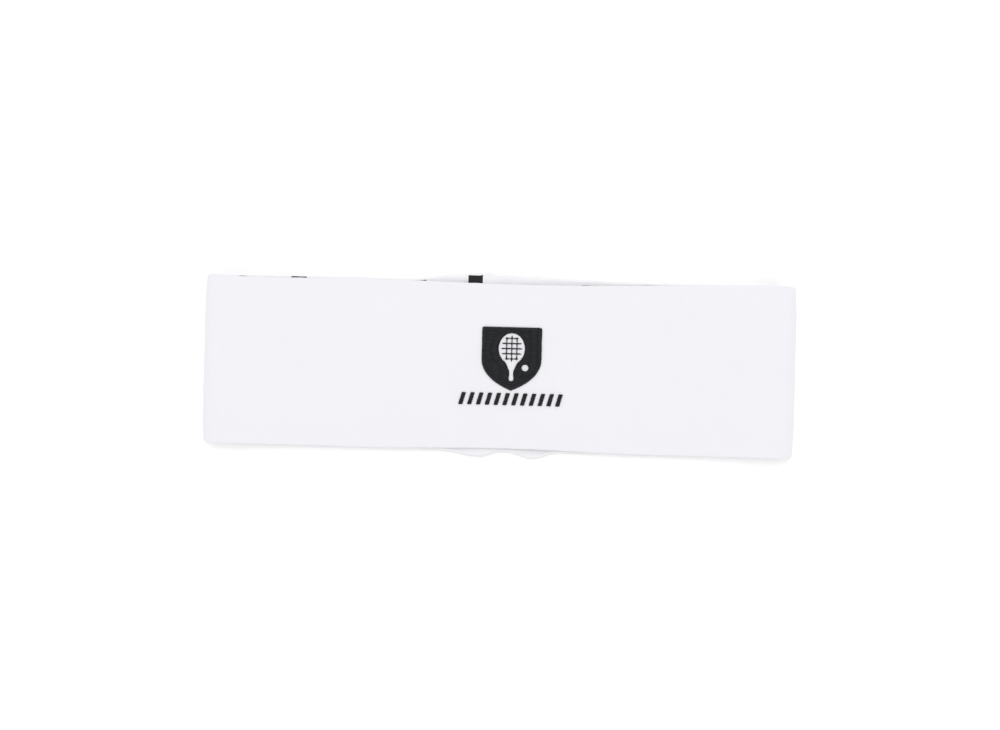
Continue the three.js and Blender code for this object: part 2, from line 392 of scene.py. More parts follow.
@dataclass(frozen=True)
class EmbroideryThread:
    """Twisted rayon thread with a soft gloss."""

    name: str = "black thread"
    colour: Colour = (0.015, 0.017, 0.018)
    twist: float = 0.16 * MM
    roughness: float = 0.5
    gloss: float = 0.18
    relief: float = 0.04 * MM
    lint: float = 0.4 * MM

    def material(self) -> bpy.types.Material:
        """Build the material.

        Returns:
            The finished material.
        """
        graph = Graph(self.name)
        places = graph.places()
        x, y, _ = graph.parts(places)
        strand = (((x + y) / self.twist) * math.tau).cosine() * 0.5 + 0.5
        lint = graph.noise(places, 1 / self.lint)
        stitch = graph.node("ShaderNodeAttribute", {"attribute_name": ThreadWork.SHADE}).outputs["Fac"]
        shade = Number(graph, stitch) * 0.6 + lint * 0.4
        colour = graph.mix(shade, opaque(self.colour, 0.65), opaque(self.colour, 1.6))
        return graph.finish(
            Base_Color=colour,
            Roughness=self.roughness + lint * 0.2,
            Normal=graph.bump(strand, 0.5, self.relief),
            Specular_IOR_Level=self.gloss,
        )


@dataclass(frozen=True)
class WovenElastic:
    """Elastic webbing: rubber ribs under a fine white weave."""

    name: str = "woven elastic"
    colour: Colour = (0.72, 0.72, 0.7)
    rib: float = 1.5 * MM
    pick: float = 0.45 * MM
    relief: float = 0.15 * MM
    lint: float = 0.5 * MM

    def material(self) -> bpy.types.Material:
        """Build the material.

        Returns:
            The finished material.
        """
        graph = Graph(self.name)
        places = graph.places()
        x, y, _ = graph.parts(places)
        ribs = (y / self.rib * math.tau).cosine() * 0.5 + 0.5
        picks = (x / self.pick * math.tau).cosine() * 0.5 + 0.5
        lint = graph.noise(places, 1 / self.lint)
        # The colour follows the weave's height, which is painted shade darkening the grooves between its
        # ribs and picks, with a little noise for lint.
        weave = ribs * 0.6 + picks * 0.25 + lint * 0.15
        return graph.finish(
            Base_Color=graph.mix(weave, opaque(self.colour, 0.88), opaque(self.colour, 1.05)),
            Roughness=0.7 + lint * 0.15,
            Normal=graph.bump(weave, 0.6, self.relief),
        )


@dataclass(frozen=True)
class BackingFelt:
    """The embroidery's stabiliser: a thin felt of bonded fibres."""

    name: str = "backing felt"
    colour: Colour = (0.75, 0.75, 0.74)
    fibre: float = 0.8 * MM
    relief: float = 0.1 * MM

    def material(self) -> bpy.types.Material:
        """Build the material.

        Returns:
            The finished material.
        """
        graph = Graph(self.name)
        places = graph.places()
        fibres = graph.noise(places, 1 / self.fibre, 6.0)
        return graph.finish(
            Base_Color=graph.mix(fibres, opaque(self.colour, 0.85), opaque(self.colour, 1.08)),
            Roughness=0.9 + fibres * 0.08,
            Normal=graph.bump(fibres, 0.6, self.relief),
        )


@dataclass(frozen=True)
class Tabletop:
    """The white surface that the band lies on."""

    name: str = "white tabletop"
    colour: Colour = (0.97, 0.97, 0.97)
    glow: float = 0.05

    def material(self) -> bpy.types.Material:
        """Build the material.

        Returns:
            The finished material.
        """
        return Graph(self.name).finish(
            Base_Color=opaque(self.colour),
            Roughness=0.9,
            Specular_IOR_Level=0.1,
            Emission_Color=opaque((1, 1, 1)),
            Emission_Strength=self.glow,
        )


# ----------------------------------------------------------------------------- shared mesh work
class Body(Enum):
    """The frame's two bodies."""

    REAR = "rear"
    FRONT = "front"


class Slot(Enum):
    """The names of the material slots."""

    SHELL = "shell_jersey"
    LINING = "lining_jersey"
    SEAM = "seam_allowance"
    ELASTIC = "woven_elastic"
    WHITE_THREAD = "white_thread"
    BACKING = "backing_felt"
    BLACK_THREAD = "black_thread"


def to_object(mesh: bmesh.types.BMesh, name: str, material: bpy.types.Material) -> bpy.types.Object:
    """Turn a finished bmesh into a smooth-shaded object at the origin.

    Args:
        mesh: The shape, which is freed.
        name: The piece's name.
        material: Its only material.

    Returns:
        The new object.
    """
    data = bpy.data.meshes.new(name)
    mesh.to_mesh(data)
    mesh.free()
    data.materials.append(material)
    data.shade_smooth()
    piece = bpy.data.objects.new(name, data)
    bpy.context.scene.collection.objects.link(piece)
    return piece


def thicken(piece: bpy.types.Object, thickness: float, offset: float = -1.0) -> None:
    """Give a sheet its thickness.

    Args:
        piece: The sheet.
        thickness: How thick it becomes.
        offset: Which way it grows: inwards with -1, and both ways with 0.
    """
    solidify = piece.modifiers.new("thickness", "SOLIDIFY")
    solidify.thickness = thickness
    solidify.offset = offset
    solidify.use_even_offset = True


def spread(start: float, end: float, pitch: float) -> list[float]:
    """Divide a length evenly into steps of about the pitch, leaving out its end."""
    count = max(round(abs(end - start) / pitch), 1)
    return [start + (end - start) * i / count for i in range(count)]


def blend_along(low: float, high: float, share: float) -> float:
    """Go from low at 0 to high at 1."""
    return low + (high - low) * share


def ease(share: float) -> float:
    """Go smoothly from 0 at 0 to 1 at 1, and stay there."""
    share = min(max(share, 0.0), 1.0)
    return share * share * (3 - 2 * share)


def press(height: float, ceiling: float, softness: float = 0.3 * MM) -> float:
    """Keep a height under a ceiling, slowing its rise over the softness below it."""
    return min(height - max(softness - (ceiling - height), 0) / 2, ceiling)


def fade(distance: float, reach: float) -> float:
    """Fall smoothly from 1 at no distance to 0 at the reach."""
    share = min(abs(distance) / reach, 1.0)
    return (1 + math.cos(math.pi * share)) / 2


# ----------------------------------------------------------------------------- the band's form
@dataclass(frozen=True)
class Pucker:
    """A stretch of the rear's long edge that stands out, placed from the centre-back seam."""

    start: float
    peak: float
    end: float
    height: float
    plateau: float = 1.0

    def rise(self, x: float) -> float:
        """Find how far the edge stands out.

        Args:
            x: The place along the band, from the centre-back seam.

        Returns:
            The distance, which is 0 past the stretch's ends.
        """
        foot = self.start if x < self.peak else self.end
        share = (x - foot) / (self.peak - foot)
        if share <= 0:
            return 0.0
        return self.height * ((1 - math.cos(math.pi * share)) / 2) ** self.plateau


@dataclass(frozen=True)
class Waist:
    """A long, shallow hollow in one of the front's long edges, or a swell where its depth is negative."""

    middle: float
    reach: float
    depth: float

    def hollow(self, x: float) -> float:
        """How far the edge is drawn in at x."""
        away = min(abs(x - self.middle) / self.reach, 1)
        return self.depth * (1 - away**2) ** 2


@dataclass
class BandForm:
    """Where each point of each cloth layer lies.

    A point is given by its distance round the loop from the centre-back seam, its place across the band
    and its depth, from 0 on the outer face to 1 on the face against the head.
    """

    # Read from the frame.
    fold_x: float
    top: float
    rear_lining_top: float
    front_lining_bottom: float
    left_edge: float
    right_edge: float
    seam_x: float
    gather_reach: float
    # The front's long edges, and the rounded corners at the folds.
    top_waists: tuple[Waist, ...] = (
        Waist(16 * MM, 78 * MM, 1.25 * MM),
        Waist(-92 * MM, 42 * MM, 0.37 * MM),
        Waist(112 * MM, 40 * MM, -0.45 * MM),
        Waist(-122 * MM, 16 * MM, -0.7 * MM),
    )
    bottom_waists: tuple[Waist, ...] = (Waist(3 * MM, 54 * MM, 0.95 * MM),)
    corner: float = 1.3 * MM
    wobble: float = 0.06 * MM
    # The rear's long edges.
    rear_spread: float = 0.3 * MM
    spread_reach: float = 6 * MM
    top_puckers: tuple[Pucker, ...] = (
        Pucker(-54 * MM, -39 * MM, -24 * MM, -0.25 * MM),
        Pucker(-27 * MM, -10 * MM, 72 * MM, 1.1 * MM, 0.6),
        Pucker(-27 * MM, -8 * MM, 56 * MM, 0.85 * MM, 0.7),
        Pucker(-2.6 * MM, 1.0 * MM, 4.8 * MM, 1.15 * MM),
    )
    bottom_puckers: tuple[Pucker, ...] = (
        Pucker(-18 * MM, -1 * MM, 6.5 * MM, 2.0 * MM),
        Pucker(10.5 * MM, 21 * MM, 31 * MM, 2.5 * MM),
    )
    # The roll of the sewn edges, how slim the band is there, and the centre-back seam's ridge.
    edge_roll: float = 0.75 * MM
    slimness: float = 0.62
    slim_reach: float = 12 * MM
    seam_roll: float = 0.3 * MM
    seam_ridge: float = 0.45 * MM
    ridge_shift: float = 1.6 * MM
    ridge_reach: float = 4.2 * MM
    # How the front sags between the folds.
    sag: float = 2.4 * MM
    sag_reach: float = 44 * MM
    droop: float = 0.6 * MM
    ripple: float = 0.08 * MM
    # How the elastic's gathers and the curl of the long edges raise the rear.
    gather_margin: float = 9 * MM
    gather_pitch: float = 21 * MM
    lift: float = 0.75 * MM
    wrinkle_pitch: float = 5.2 * MM
    wrinkle: float = 0.16 * MM
    swell: float = 0.12 * MM
    curl: float = 0.5 * MM
    gathered_curl: float = 0.7 * MM
    curl_start: float = 16 * MM
    curl_reach: float = 18 * MM
    # The cloth that the elastic takes up on each side of the seam.
    fullness: float = 1.3 * MM
    fullness_reach: float = 22 * MM
    # The heights between which the cloth would give if the loop opened, which nothing here reads, the
    # limits that keep the flat stretches clear of them, and the shares of each fold that have closer rows
    # of points.
    bend_low: float = 4.42 * MM
    bend_high: float = 4.74 * MM
    rear_ceiling: float = 4.3 * MM
    front_floor: float = 4.86 * MM
    give_start: float = 0.41
    give_end: float = 0.51
    # Worked out from the rest.
    length: float = field(init=False)
    bend: float = field(init=False)
    joins: tuple[float, float, float, float] = field(init=False)

    @classmethod
    def from_frame(cls) -> BandForm:
        """Read the band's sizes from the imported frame.

        Returns:
            The form.
        """
        left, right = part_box("left_fold_shell"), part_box("right_fold_shell")
        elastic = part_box("rear_elastic")
        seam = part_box("back_seam_shell")
        return cls(
            fold_x=right[0].x,
            top=right[1].z,
            rear_lining_top=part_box("rear_lining_left")[1].z,
            front_lining_bottom=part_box("front_lining")[0].z,
            left_edge=left[1].y,
            right_edge=right[1].y,
            seam_x=(seam[0].x + seam[1].x) / 2,
            gather_reach=(elastic[1].x - elastic[0].x) / 2,
        )

    def __post_init__(self) -> None:
        """Work out the loop's length and where its straight stretches meet its folds."""
        self.bend = math.pi * (self.top / 2 + self.inner_radius) / 2
        right = self.fold_x - self.seam_x
        front = right + self.bend
        left = front + 2 * self.fold_x
        self.joins = (right, front, left, left + self.bend)
        self.length = self.joins[3] + self.seam_x + self.fold_x

    @property
    def inner_radius(self) -> float:
        """The lining's radius at the folds."""
        return (self.front_lining_bottom - self.rear_lining_top) / 2

    @property
    def inner_z(self) -> float:
        """The height of the lining's folds."""
        return (self.front_lining_bottom + self.rear_lining_top) / 2

    def straight_edge(self, x: float) -> float:
        """Half the band's height at x, before anything draws it in or out."""
        return blend_along(self.left_edge, self.right_edge, (x / self.fold_x + 1) / 2)

    def is_front(self, distance: float) -> bool:
        """Whether a distance round the loop is on the front."""
        return self.joins[1] <= distance <= self.joins[2]

    def is_rear(self, distance: float) -> bool:
        """Whether a distance round the loop is on the rear."""
        return distance <= self.joins[0] or distance >= self.joins[3]

    def section(self, distance: float, depth: float) -> Point:
        """Find a place on the loop's plain section, with no sag or gathers.

        Args:
            distance: How far round the loop it is from the centre-back seam.
            depth: Its depth in the ply.

        Returns:
            Its X and Z.
        """
        right, front, left, rear = self.joins
        if distance <= right:
            return self.seam_x + distance, depth * self.rear_lining_top
        if distance >= rear:
            return self.seam_x - (self.length - distance), depth * self.rear_lining_top
        if front <= distance <= left:
            height = blend_along(self.top, self.front_lining_bottom, depth)
            return self.fold_x - (distance - front), height
        if distance < front:
            side, share = 1, (distance - right) / self.bend
        else:
            side, share = -1, 1 - (distance - left) / self.bend
        angle = math.pi * (share - 0.5)
        radius = blend_along(self.top / 2, self.inner_radius, depth)
        middle = blend_along(self.top / 2, self.inner_z, depth)
        return side * (self.fold_x + radius * math.cos(angle)), middle + radius * math.sin(angle)

    def along_cloth(self, distance: float) -> float:
        """Find how far along the flat cloth a point is.

        Args:
            distance: How far round the loop it is from the centre-back seam.

        Returns:
            That distance and the cloth that the elastic gathers before it, on each side of the seam.
        """
        before = self.fullness * ease(distance / self.fullness_reach)
        after = self.fullness * ease(1 - (self.length - distance) / self.fullness_reach)
        return distance + before + after

    def front_edges(self, x: float) -> Point:
        """Find the front's long edges.

        Args:
            x: The place along the band.

        Returns:
            The lower and the upper edge's Y.
        """
        half = self.straight_edge(x)
        lower = sum(waist.hollow(x) for waist in self.bottom_waists) - half
        return lower, half - sum(waist.hollow(x) for waist in self.top_waists)

    def rear_edges(self, x: float) -> Point:
        """Find the rear's long edges.

        Args:
            x: The place along the band.

        Returns:
            The lower and the upper edge's Y.
        """
        from_seam = x - self.seam_x
        spreading = ease((self.fold_x - abs(x)) / self.spread_reach)
        half = self.straight_edge(x) + self.rear_spread * spreading
        lower = -half - sum(pucker.rise(from_seam) for pucker in self.bottom_puckers)
        return lower, half + sum(pucker.rise(from_seam) for pucker in self.top_puckers)

    def edges(self, distance: float) -> Point:
        """Find the long edges anywhere round the loop.

        Args:
            distance: How far round the loop it is from the centre-back seam.

        Returns:
            The lower and the upper edge's Y, with the slight unevenness of a sewn edge.
        """
        right, front, left, rear = self.joins
        x, _ = self.section(distance, 0)
        turned = ease((distance - right) / (front - right)) * ease((rear - distance) / (rear - left))
        ends = zip(self.rear_edges(x), self.front_edges(x))
        lower, upper = (blend_along(behind, before, turned) for behind, before in ends)
        wobble = self.wobble * math.sin(distance / (1.1 * MM)) * math.sin(distance / (4.3 * MM))
        past = max(abs(x) - (self.fold_x + self.top / 2 - self.corner), 0)
        inward = self.corner - math.sqrt(self.corner**2 - past**2) - wobble
        return lower + inward, upper - inward

    def room(self, x: float) -> float:
        """How free the cloth is to sag or rise at x: 0 at the folds, and 1 past the sag's reach."""
        return ease((self.fold_x - abs(x)) / self.sag_reach)

    def edgewise(self, y: float) -> float:
        """How far out across the band y is: 0 in the middle, and 1 at the long edges."""
        return ease((abs(y) - self.curl_start) / self.curl_reach)

    def front_relief(self, x: float, y: float) -> float:
        """Find how far the sag and slow waves raise the front.

        Args:
            x: The place along the band.
            y: The place across it.

        Returns:
            The height above the plain section, which is below 0 where the front sags.
        """
        waves = math.sin(x / (29 * MM) + 0.7) * math.cos(y / (24 * MM))
        waves += 0.6 * math.sin((x + 2 * y) / (21 * MM))
        return self.room(x) * (self.ripple * waves - self.sag - self.droop * self.edgewise(y))

    def rear_relief(self, x: float, y: float) -> float:
        """Find how far the gathers, slow waves and curled edges raise the rear.

        Args:
            x: The place along the band.
            y: The place across it.

        Returns:
            The height above the plain section.
        """
        room, edgewise = self.room(x), self.edgewise(y)
        from_seam = x - self.seam_x
        near = fade(from_seam, self.gather_reach + self.gather_margin)
        gathers = math.tau * from_seam / self.gather_pitch + 0.35 * math.sin(y / (14 * MM)) + 0.4
        wrinkles = math.tau * from_seam / self.wrinkle_pitch + 1.1 * math.sin(y / (9 * MM))
        broad, fine = 0.5 + 0.5 * math.cos(gathers), 0.5 + 0.5 * math.cos(wrinkles)
        slow = self.swell * room * (1 + math.sin(x / (26 * MM) + y / (33 * MM)))
        curled = edgewise * (self.curl * room + self.gathered_curl * near)
        return near * (self.lift * broad * (0.7 + 0.3 * edgewise) + self.wrinkle * fine) + slow + curled

    def place(self, distance: float, y: float, depth: float) -> Vector:
        """Place a point.

        Args:
            distance: How far round the loop it is from the centre-back seam.
            y: Its place across the band.
            depth: Its depth in the ply, from 0 on the outer face to 1 on the lining's.

        Returns:
            The point, in the frame.
        """
        slim = blend_along(self.slimness, 1, ease((self.left_edge - abs(y)) / self.slim_reach))
        depth = 0.5 + (depth - 0.5) * slim
        x, z = self.section(distance, depth)
        if self.is_front(distance):
            # Under the floor, the front would be held back with the rear.
            z = -press(-z - self.front_relief(x, y), -self.front_floor)
        elif self.is_rear(distance):
            z += self.rear_relief(x, y)
            z += depth * self.seam_ridge * fade(x - self.seam_x - self.ridge_shift, self.ridge_reach)
            # Past the ceiling, the rear would be pulled up with the front.
            z = press(z, self.rear_ceiling)
        return Vector((x, y, z))

    def on_front(self, x: float, y: float, depth: float = 0.0) -> float:
        """The height of the front at a point and a depth."""
        return self.place(self.joins[1] + self.fold_x - x, y, depth).z

    def on_rear(self, x: float, y: float, depth: float) -> float:
        """The height of the rear at a point and a depth."""
        return self.place((x - self.seam_x) % self.length, y, depth).z

    def stations(self, pitch: float = 1.6 * MM, close: float = 0.3 * MM) -> list[float]:
        """List the distances round the loop at which the cloth has a row of points.

        Args:
            pitch: The step along plain stretches.
            close: The step round the folds.

        Returns:
            The distances, closer together at the seam, in the gathers and round the folds.
        """
        right, front, left, rear = self.joins
        gathers = self.gather_reach + self.gather_margin
        start = spread(0, self.seam_roll, self.seam_roll / 3) + spread(self.seam_roll, gathers, 1.0 * MM)
        end = [self.length - distance for distance in reversed(start)]
        # The stretch of each fold where the cloth would give if the loop opened has the closest rows.
        give, given = self.give_start * self.bend, self.give_end * self.bend
        fold = [*spread(0, give, close), *spread(give, given, close / 6), *spread(given, self.bend, close)]
        return [
            *start,
            *spread(gathers, right, pitch),
            *(right + distance for distance in fold),
            *spread(front, left, pitch),
            left,
            *(rear - distance for distance in reversed(fold[1:])),
            *spread(rear, self.length - gathers, pitch),
            self.length - gathers,
            *end,
        ]


# ----------------------------------------------------------------------------- cloth of the loop
@dataclass(frozen=True)
class Across:
    """One row of points along the band: its place across the cloth.

    Attributes:
        share: From 0 where the lower edge's roll ends to 1 where the upper edge's begins.
        out: How far past that it lies, upwards.
        depth: Its depth in the ply.
    """

    share: float
    out: float
    depth: float


@dataclass
class BandCloth:
    """The outer cloth and the lining, each one strip round the loop with its long edges turned in."""

    CHART = "cloth"

    form: BandForm
    shell_thickness: float = 0.55 * MM
    lining_thickness: float = 0.45 * MM
    row_pitch: float = 1.5 * MM
    roll_steps: int = 6
    tuck: float = 0.9 * MM
    tuck_bend: float = 0.35 * MM
    tuck_depths: tuple[float, float] = (0.42, 0.49)
    seam_turn: float = 0.06

    def rows(self, inner: bool) -> list[Across]:
        """List a cloth's rows from its lower to its upper edge.

        Args:
            inner: Whether it is the lining.

        Returns:
            The rows, whose first and last are tucked in at the edge seam.
        """
        roll = self.form.edge_roll
        turned = [
            Across(1, roll - inwards, depth)
            for inwards, depth in zip((self.tuck, self.tuck_bend), self.tuck_depths)
        ]
        for step in range(self.roll_steps):
            angle = math.pi / 2 * (step + 0.5) / self.roll_steps
            turned.append(Across(1, roll * math.cos(angle), 0.5 * (1 - math.sin(angle))))
        upper = list(reversed(turned))
        lower = [Across(0, -row.out, row.depth) for row in turned]
        step = self.row_pitch / (2 * self.form.left_edge)
        flat = [Across(share, 0, 0) for share in [*spread(0, 1, step), 1]]
        rows = [*lower, *flat, *upper]
        return [Across(row.share, row.out, 1 - row.depth) for row in rows] if inner else rows

    def turned_depth(self, distance: float, depth: float) -> float:
        """Move a point towards the ply's middle where the strip's end turns in at the seam.

        Args:
            distance: How far round the loop it is.
            depth: Its depth in the ply.

        Returns:
            Its depth with the turn.
        """
        left = min(distance, self.form.length - distance)
        if left >= self.form.seam_roll:
            return depth
        turn = self.seam_turn * (1 - math.sin(math.pi / 2 * left / self.form.seam_roll))
        return max(depth, turn) if depth < 0.5 else min(depth, 1 - turn)

    def strip(
        self, name: str, rows: Sequence[Across], inner: bool, material: bpy.types.Material
    ) -> bpy.types.Object:
        """Build a strip of cloth round the loop.

        Args:
            name: The piece's name.
            rows: Its rows of points, across the band.
            inner: Whether its good side faces the head.
            material: Its finish.

        Returns:
            The open strip, one face thick, with a chart of how far along the cloth and below its upper
            edge each point is.
        """
        form = self.form
        stations = form.stations()
        mesh = bmesh.new()
        columns, lines = len(stations) - 1, len(rows) - 1
        bmesh.ops.create_grid(mesh, x_segments=columns, y_segments=lines, size=1)
        charted = {}
        for point in mesh.verts:
            distance = stations[round((point.co.x + 1) / 2 * columns)]
            row = rows[round((point.co.y + 1) / 2 * lines)]
            lower, upper = form.edges(distance)
            roll = form.edge_roll
            y = blend_along(lower + roll, upper - roll, row.share) + row.out
            charted[point] = (form.along_cloth(distance), upper - y)
            point.co = form.place(distance, y, self.turned_depth(distance, row.depth))
        chart = mesh.loops.layers.uv.new(self.CHART)
        for face in mesh.faces:
            for corner in face.loops:
                corner[chart].uv = charted[corner.vert]
        mesh.normal_update()
        middle = form.place(form.joins[0] / 2, 0, float(inner))
        plain = min(mesh.faces, key=lambda face: (face.calc_center_median() - middle).length)
        if (plain.normal.z > 0) != inner:
            bmesh.ops.reverse_faces(mesh, faces=mesh.faces[:])
        return to_object(mesh, name, material)

    def settle(self, piece: bpy.types.Object, nodes: Iterable[str], slot: Slot) -> None:
        """Fix a strip's place in the frame and hide the frame nodes that it stands for.

        Args:
            piece: The strip.
            nodes: The frame nodes that it stands for.
            slot: Its material slot; not used.
        """
        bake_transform(piece)
        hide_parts(*nodes)

    def build(self, shell: Jersey, lining: Jersey) -> list[bpy.types.Object]:
        """Build both cloths.

        Args:
            shell: The outer cloth's finish.
            lining: The lining's finish.

        Returns:
            The outer cloth and the lining.
        """
        pieces = []
        for name, word, inner, thickness, finish, slot in (
            ("outer_cloth", "shell", False, self.shell_thickness, shell, Slot.SHELL),
            ("lining_cloth", "lining", True, self.lining_thickness, lining, Slot.LINING),
        ):
            piece = self.strip(name, self.rows(inner), inner, finish.material())
            thicken(piece, thickness)
            nodes = [f"{place}_{word}" for place in ("front", "left_fold", "right_fold", "back_seam")]
            self.settle(piece, [*nodes, f"rear_{word}_left", f"rear_{word}_right"], slot)
            pieces.append(piece)
        return pieces


@dataclass
class TurnedEdges(BandCloth):
    """The seam allowances inside the two long edges, stitched together round the loop."""

    inset: float = 1.2 * MM
    width: float = 6 * MM
    thickness: float = 0.5 * MM

    def build(self, finish: Jersey) -> list[bpy.types.Object]:
        """Build the upper and the lower allowance.

        Args:
            finish: Their cloth's finish.

        Returns:
            The two pieces.
        """
        roll = self.form.edge_roll
        reaches = [*spread(self.inset, self.inset + self.width, 1 * MM), self.inset + self.width]
        material = finish.material()
        pieces = []
        for word, share, sign in (("top", 1, 1), ("bottom", 0, -1)):
            rows = [Across(share, sign * (roll - reach), 0.5) for reach in reversed(reaches)]
            piece = self.strip(f"{word}_seam_allowance", rows, False, material)
            thicken(piece, self.thickness, 0)
            nodes = [f"{place}_{word}_seam" for place in ("front", "left_fold", "right_fold")]
            self.settle(piece, [*nodes, f"rear_{word}_seam_left", f"rear_{word}_seam_right"], Slot.SEAM)
            pieces.append(piece)
        return pieces


# ----------------------------------------------------------------------------- flat inner pieces
@dataclass
class FlatPiece:
    """A rectangle of webbing or felt inside one half of the band, as large as its frame node."""

    form: BandForm
    node: str
    name: str
    body: Body
    slot: Slot
    thickness: float
    pitch: float = 1.2 * MM
    rib_pitch: float = 0.0
    rib_height: float = 0.0

    def build(self, material: bpy.types.Material) -> bpy.types.Object:
        """Build the piece.

        Args:
            material: Its finish.

        Returns:
            The piece, which follows its ply's gathers or sag.
        """
        low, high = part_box(self.node)
        form = self.form
        middle = (low.z + high.z) / 2
        if self.body is Body.FRONT:
            depth, surface = (form.top - middle) / (form.top - form.front_lining_bottom), form.on_front
        else:
            depth, surface = middle / form.rear_lining_top, form.on_rear
        size = high - low
        mesh = bmesh.new()
        columns, lines = math.ceil(size.x / self.pitch), math.ceil(size.y / self.pitch)
        bmesh.ops.create_grid(mesh, x_segments=columns, y_segments=lines, size=1)
        for point in mesh.verts:
            x = blend_along(low.x, high.x, (point.co.x + 1) / 2)
            y = blend_along(low.y, high.y, (point.co.y + 1) / 2)
            rib = self.rib_height * math.cos(math.tau * y / self.rib_pitch) if self.rib_pitch else 0.0
            point.co = Vector((x, y, surface(x, y, depth) + rib))
        piece = to_object(mesh, self.name, material)
        thicken(piece, self.thickness, 0)
        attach(piece, self.body.value)
        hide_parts(self.node)
        return piece


# ----------------------------------------------------------------------------- stitches
@dataclass(frozen=True)
class Stitch:
    """A kind of stitch.

    Attributes:
        width: The thread's width.
        height: How tall it stands.
        lift: How far its middle is above the cloth.
    """

    width: float
    height: float
    lift: float = 0.0


class ThreadWork:
    """Stitches laid on one half of the band, gathered into one mesh.

    Each stitch is a low, rounded and tapered body, with a shade of its own for the finish to read.
    """

    SHADE = "stitch_shade"

    def __init__(self, surface: Callable[[float, float], float], seed: int) -> None:
        """Start with no stitches.

        Args:
            surface: The height of the cloth under the stitches, at x and y.
            seed: What the stitches' small differences are drawn from.
        """
        self.surface = surface
        self.draw = random.Random(seed)
        self.mesh = bmesh.new()
        self.pattern = self.stitch_pattern()

    @classmethod
    def stitch_pattern(cls) -> bpy.types.Mesh:
        """Build the round body that every stitch is a stretched copy of.

        Returns:
            The body, of radius 1.
        """
        mesh = bmesh.new()
        mesh.verts.layers.float.new(cls.SHADE)
        on_end = Matrix.Rotation(math.pi / 2, 4, "Y")
        bmesh.ops.create_uvsphere(mesh, u_segments=8, v_segments=6, radius=1, matrix=on_end)
        pattern = bpy.data.meshes.new("stitch pattern")
        mesh.to_mesh(pattern)
        mesh.free()
        return pattern

    def lay(self, start: Point, end: Point, kind: Stitch) -> None:
        """Lay one stitch, unless it would be shorter than half its thread's width.

        Args:
            start: Where the needle comes up.
            end: Where it goes down.
            kind: The kind of stitch.
        """
        (x0, y0), (x1, y1) = start, end
        across, along = (x0 + x1) / 2, (y0 + y1) / 2
        length = math.hypot(x1 - x0, y1 - y0)
        if length < kind.width / 2:
            return
        turn = Matrix.Rotation(math.atan2(y1 - y0, x1 - x0), 4, "Z")
        size = Matrix.Diagonal((length / 2 + kind.width / 4, kind.width / 2, kind.height / 2, 1))
        where = Matrix.Translation((across, along, self.surface(across, along) + kind.lift))
        stitch = self.pattern.copy()
        stitch.transform(where @ turn @ size)
        shades = [self.draw.random()] * len(stitch.vertices)
        stitch.attributes[self.SHADE].data.foreach_set("value", shades)
        self.mesh.from_mesh(stitch)
        bpy.data.meshes.remove(stitch)

    def finish(
        self, name: str, node: str, body: Body, slot: Slot, material: bpy.types.Material
    ) -> bpy.types.Object:
        """Turn the stitches into a piece.

        Args:
            name: The piece's name.
            node: The frame node that it stands for.
            body: The half that it rides on.
            slot: Its material slot; not used.
            material: The thread's finish.

        Returns:
            The new object.
        """
        bpy.data.meshes.remove(self.pattern)
        piece = to_object(self.mesh, name, material)
        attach(piece, body.value)
        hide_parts(node)
        return piece


def walk(outline: Sequence[Point], pitch: float) -> list[tuple[Point, float]]:
    """Walk along a line in even steps.

    Args:
        outline: The line's points.
        pitch: The step.

    Returns:
        Each step's point and its place in the line, counted in points.
    """
    steps, spare = [], 0.0
    for index, ((x0, y0), (x1, y1)) in enumerate(zip(outline, outline[1:])):
        length = math.hypot(x1 - x0, y1 - y0)
        while spare < length:
            share = spare / length
            steps.append(((blend_along(x0, x1, share), blend_along(y0, y1, share)), index + share))
            spare += pitch
        spare -= length
    return steps


def at(outline: Sequence[Point], place: float) -> Point:
    """Find a point on a line.

    Args:
        outline: The line's points.
        place: The point's place in the line, counted in points.

    Returns:
        The point.
    """
    index = min(int(place), len(outline) - 2)
    (x0, y0), (x1, y1) = outline[index], outline[index + 1]
    return blend_along(x0, x1, place - index), blend_along(y0, y1, place - index)


def encloses(outline: Sequence[Point], x: float, y: float) -> bool:
    """Find whether a closed outline holds a point.

    Args:
        outline: The outline's points.
        x: The point's X.
        y: The point's Y.

    Returns:
        Whether the point is inside.
    """
    inside = False
    for (x0, y0), (x1, y1) in zip(outline, [*outline[1:], outline[0]]):
        if (y0 > y) != (y1 > y) and x < x0 + (x1 - x0) * (y - y0) / (y1 - y0):
            inside = not inside
    return inside


def oval(x: float, y: float, radius_x: float, radius_y: float, count: int = 72) -> list[Point]:
    """Draw a closed oval."""
    turns = (math.tau * i / count for i in range(count + 1))
    return [(x + radius_x * math.cos(turn), y + radius_y * math.sin(turn)) for turn in turns]


def bezier(start: Point, first: Point, second: Point, end: Point, count: int = 20) -> list[Point]:
    """Draw a cubic curve.

    Args:
        start: Where it starts.
        first: The handle of its start.
        second: The handle of its end.
        end: Where it ends.
        count: How many points it has.

    Returns:
        Its points, without the end.
    """
    knots = (start, first, second, end)
    points = []
    for step in range(count):
        t = step / count
        weights = ((1 - t) ** 3, 3 * t * (1 - t) ** 2, 3 * t * t * (1 - t), t**3)
        x, y = (sum(weight * knot[axis] for weight, knot in zip(weights, knots)) for axis in (0, 1))
        points.append((x, y))
    return points


# ----------------------------------------------------------------------------- embroidery
THREAD = 0.46 * MM


